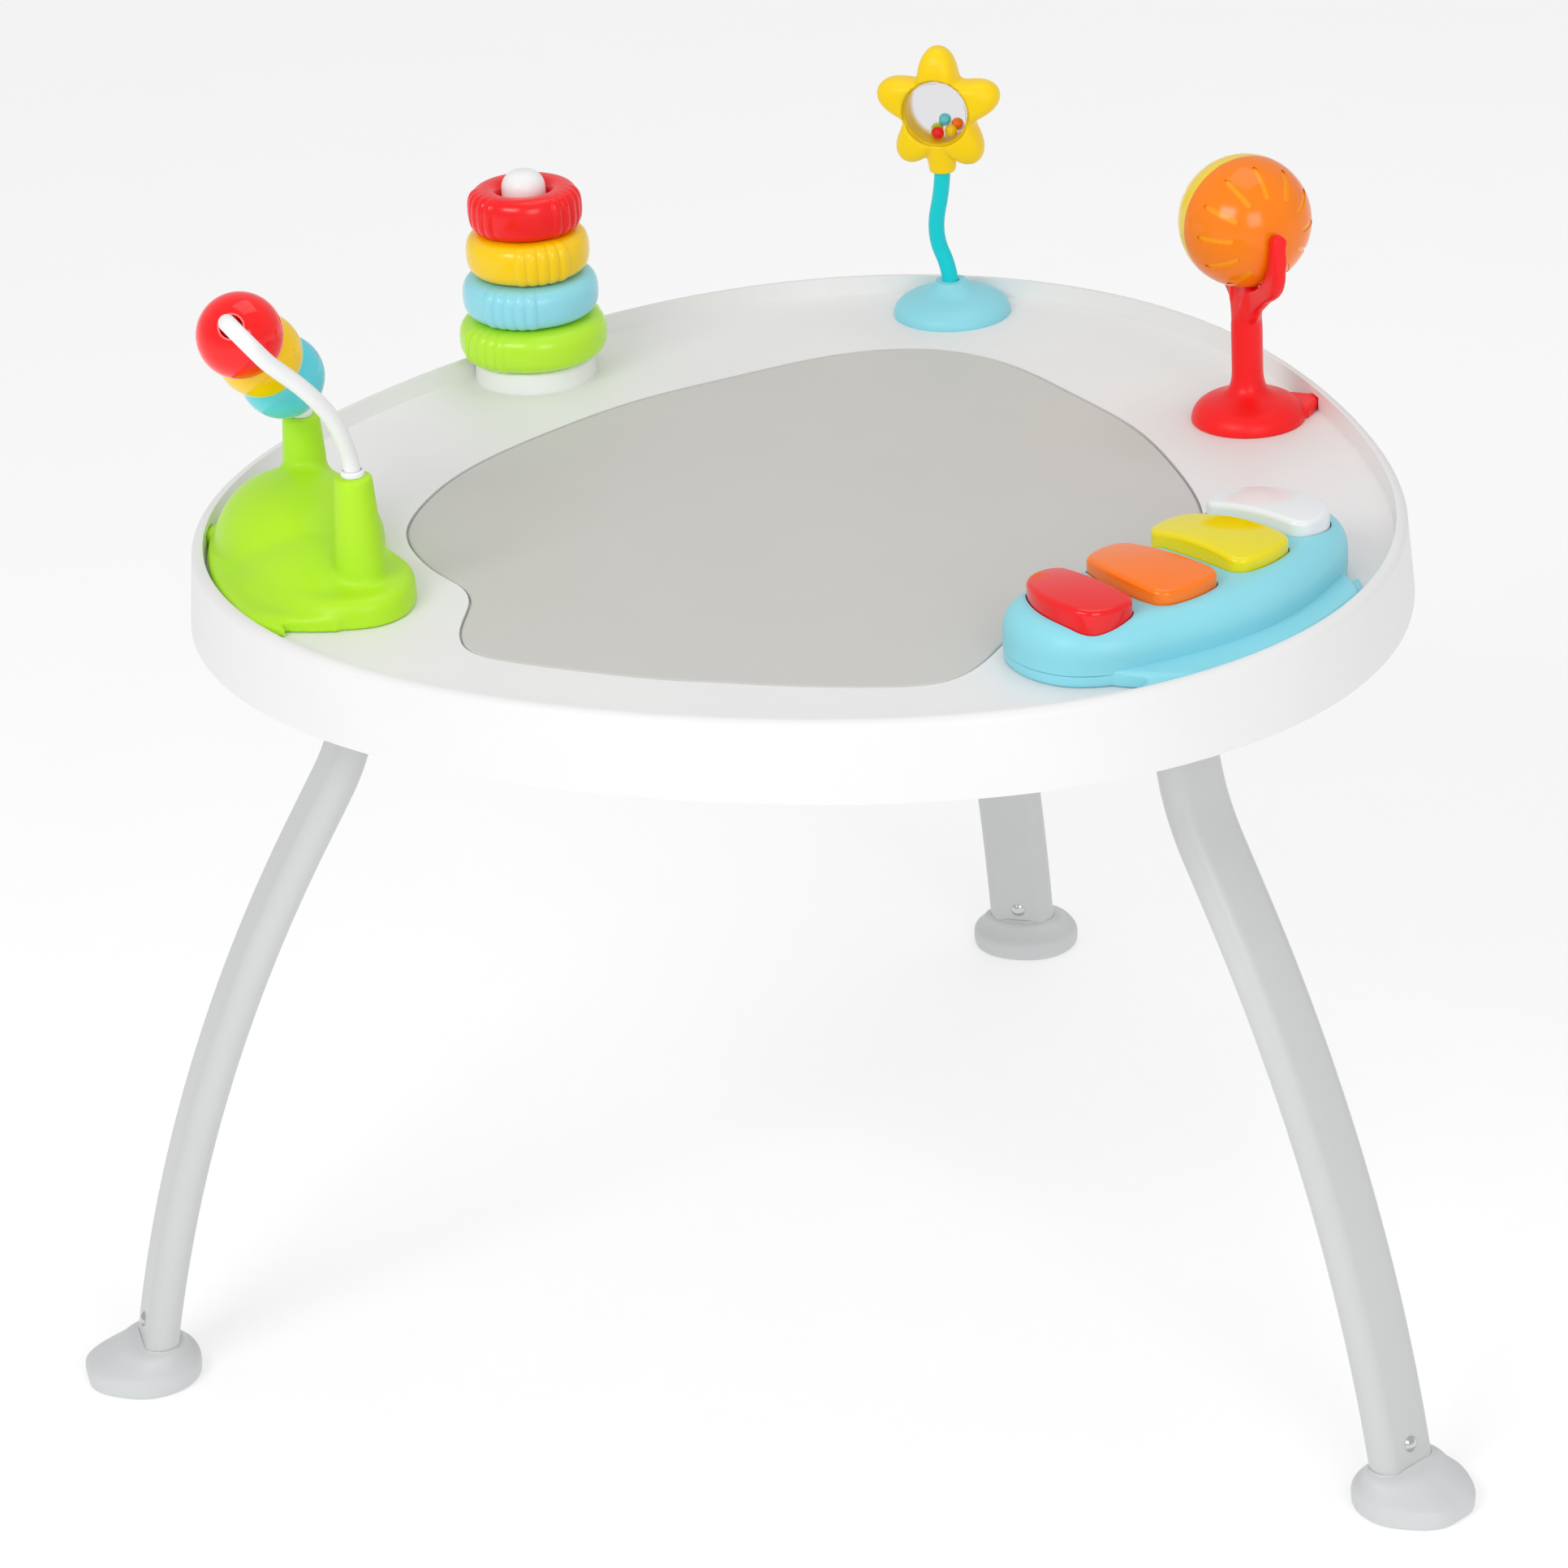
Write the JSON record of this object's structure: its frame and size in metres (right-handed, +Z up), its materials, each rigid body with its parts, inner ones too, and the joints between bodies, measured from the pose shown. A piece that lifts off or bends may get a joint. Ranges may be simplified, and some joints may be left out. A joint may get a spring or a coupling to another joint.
{
  "type": "activity jumper",
  "caption": "Round toddler activity table on splayed flat-oval steel legs, with a raised rim, a lift-out centre cover, a bead arch, ring stacker, star, spinner ball and small piano.",
  "frame": {"origin": "middle of the object's outline at floor level, under the feet", "axes": "+X to the right and +Y to the back as the user stands at the front between the two front legs, +Z up"},
  "size_m": [0.8239, 0.8086, 0.6787],
  "materials": {
    "tray_white": "satin, fine moulded texture",
    "cover_grey": "satin",
    "leg_grey": "powder coat, satin",
    "foot_grey": "satin",
    "rivet_metal": "polished",
    "screw_steel": "zinc plated",
    "lime_plastic": "semi-gloss",
    "blue_plastic": "semi-gloss",
    "yellow_plastic": "semi-gloss",
    "red_plastic": "semi-gloss",
    "white_plastic": "gloss",
    "teal_rubber": "smooth",
    "clear_plastic": "clear, polished",
    "bead_mix": "small beads of mixed colours",
    "orange_clear": "translucent, polished",
    "yellow_clear": "translucent, polished",
    "key_red": "polished",
    "key_orange": "polished",
    "key_yellow": "polished",
    "key_white": "polished",
    "board_green": "solder mask",
    "black_plastic": "matte",
    "battery_steel": "satin",
    "button_steel": "zinc plated"
  },
  "bodies": {
    "frame": {"tray_shell": "tray_white", "leg_tube_left": "leg_grey", "leg_socket_left": "white_plastic", "foot_left": "foot_grey", "leg_tube_right": "leg_grey", "leg_socket_right": "white_plastic", "foot_right": "foot_grey", "leg_tube_back": "leg_grey", "leg_socket_back": "white_plastic", "foot_back": "foot_grey", "foot_rivets": "rivet_metal", "socket_screws": "screw_steel", "toy_screws": "screw_steel", "stacker_base": "white_plastic", "stacker_post": "white_plastic", "star_base": "blue_plastic", "star_stalk": "teal_rubber", "ball_stand_inner": "red_plastic", "ball_stand_outer": "red_plastic", "ball_pins": "screw_steel", "bead_base": "lime_plastic", "bead_wire": "white_plastic", "wire_collars": "white_plastic", "piano_lower": "blue_plastic", "piano_upper": "blue_plastic", "battery_door": "blue_plastic", "batteries": "battery_steel", "sound_board": "board_green", "speaker": "black_plastic"},
    "cover": {"tray_cover": "cover_grey"},
    "ring_lime": {"ring_lime_lower": "lime_plastic", "ring_lime_upper": "lime_plastic"},
    "ring_blue": {"ring_blue_lower": "blue_plastic", "ring_blue_upper": "blue_plastic"},
    "ring_yellow": {"ring_yellow_lower": "yellow_plastic", "ring_yellow_upper": "yellow_plastic"},
    "ring_red": {"ring_red_lower": "red_plastic", "ring_red_upper": "red_plastic"},
    "star": {"star_front": "yellow_plastic", "star_back": "yellow_plastic", "star_window": "clear_plastic"},
    "star_rattle": {"star_beads": "bead_mix"},
    "ball": {"ball_orange": "orange_clear", "ball_yellow": "yellow_clear"},
    "bead_blue": {"bead_blue": "blue_plastic"},
    "bead_yellow": {"bead_yellow": "yellow_plastic"},
    "bead_red": {"bead_red": "red_plastic"},
    "key_red": {"key_red": "key_red"},
    "key_orange": {"key_orange": "key_orange"},
    "key_yellow": {"key_yellow": "key_yellow"},
    "key_white": {"key_white": "key_white"},
    "lock_button_left": {"lock_button_left": "button_steel"},
    "lock_button_right": {"lock_button_right": "button_steel"},
    "lock_button_back": {"lock_button_back": "button_steel"}
  },
  "joints": [
    {"name": "cover_lift", "type": "slide", "parent": "frame", "child": "cover", "axis": [0, 0, 1], "range_m": [0, 0.12]},
    {"name": "ring_lime_lift", "type": "slide", "parent": "frame", "child": "ring_lime", "axis": [0, 0, 1], "range_m": [0, 0.125]},
    {"name": "ring_blue_lift", "type": "slide", "parent": "ring_lime", "child": "ring_blue", "axis": [0, 0, 1], "range_m": [0, 0.1]},
    {"name": "ring_yellow_lift", "type": "slide", "parent": "ring_blue", "child": "ring_yellow", "axis": [0, 0, 1], "range_m": [0, 0.075]},
    {"name": "ring_red_lift", "type": "slide", "parent": "ring_yellow", "child": "ring_red", "axis": [0, 0, 1], "range_m": [0, 0.05]},
    {"name": "star_sway", "type": "hinge", "parent": "frame", "child": "star", "pos_m": [-0.0095, 0.24475, 0.548], "axis": [0, 1, 0], "range_deg": [-12, 12], "stiffness_Nm_per_rad": 0.6, "deforming": ["star_stalk"]},
    {"name": "star_rattle_turn", "type": "hinge", "parent": "star", "child": "star_rattle", "pos_m": [-0.0044, 0.24375, 0.6212], "axis": [0, 1, 0], "continuous": true},
    {"name": "ball_spin", "type": "hinge", "parent": "frame", "child": "ball", "pos_m": [0.21455, 0.09467, 0.612], "axis": [-0.5976, 0.8018, 0], "continuous": true},
    {"name": "bead_blue_slide", "type": "slide", "parent": "frame", "child": "bead_blue", "axis": [0.0313, -0.798, 0.6018], "range_m": [0, 0.003]},
    {"name": "bead_yellow_slide", "type": "slide", "parent": "bead_blue", "child": "bead_yellow", "axis": [0.0828, -0.8195, 0.5671], "range_m": [0, 0.003]},
    {"name": "bead_red_slide", "type": "slide", "parent": "bead_yellow", "child": "bead_red", "axis": [0.1339, -0.8374, 0.5299], "range_m": [0, 0.003]},
    {"name": "key_red_press", "type": "slide", "parent": "frame", "child": "key_red", "axis": [0, 0, -1], "range_m": [0, 0.0035], "stiffness_N_per_m": 400, "springref_m": -0.0015},
    {"name": "key_orange_press", "type": "slide", "parent": "frame", "child": "key_orange", "axis": [0, 0, -1], "range_m": [0, 0.0035], "stiffness_N_per_m": 400, "springref_m": -0.0015},
    {"name": "key_yellow_press", "type": "slide", "parent": "frame", "child": "key_yellow", "axis": [0, 0, -1], "range_m": [0, 0.0035], "stiffness_N_per_m": 400, "springref_m": -0.0015},
    {"name": "key_white_press", "type": "slide", "parent": "frame", "child": "key_white", "axis": [0, 0, -1], "range_m": [0, 0.0035], "stiffness_N_per_m": 400, "springref_m": -0.0015},
    {"name": "lock_button_left_press", "type": "slide", "parent": "frame", "child": "lock_button_left", "axis": [0.866, 0.5, 0], "range_m": [0, 0.005], "stiffness_N_per_m": 500, "springref_m": -0.002},
    {"name": "lock_button_right_press", "type": "slide", "parent": "frame", "child": "lock_button_right", "axis": [-0.866, 0.5, 0], "range_m": [0, 0.005], "stiffness_N_per_m": 500, "springref_m": -0.002},
    {"name": "lock_button_back_press", "type": "slide", "parent": "frame", "child": "lock_button_back", "axis": [0, -1, 0], "range_m": [0, 0.005], "stiffness_N_per_m": 500, "springref_m": -0.002}
  ]
}
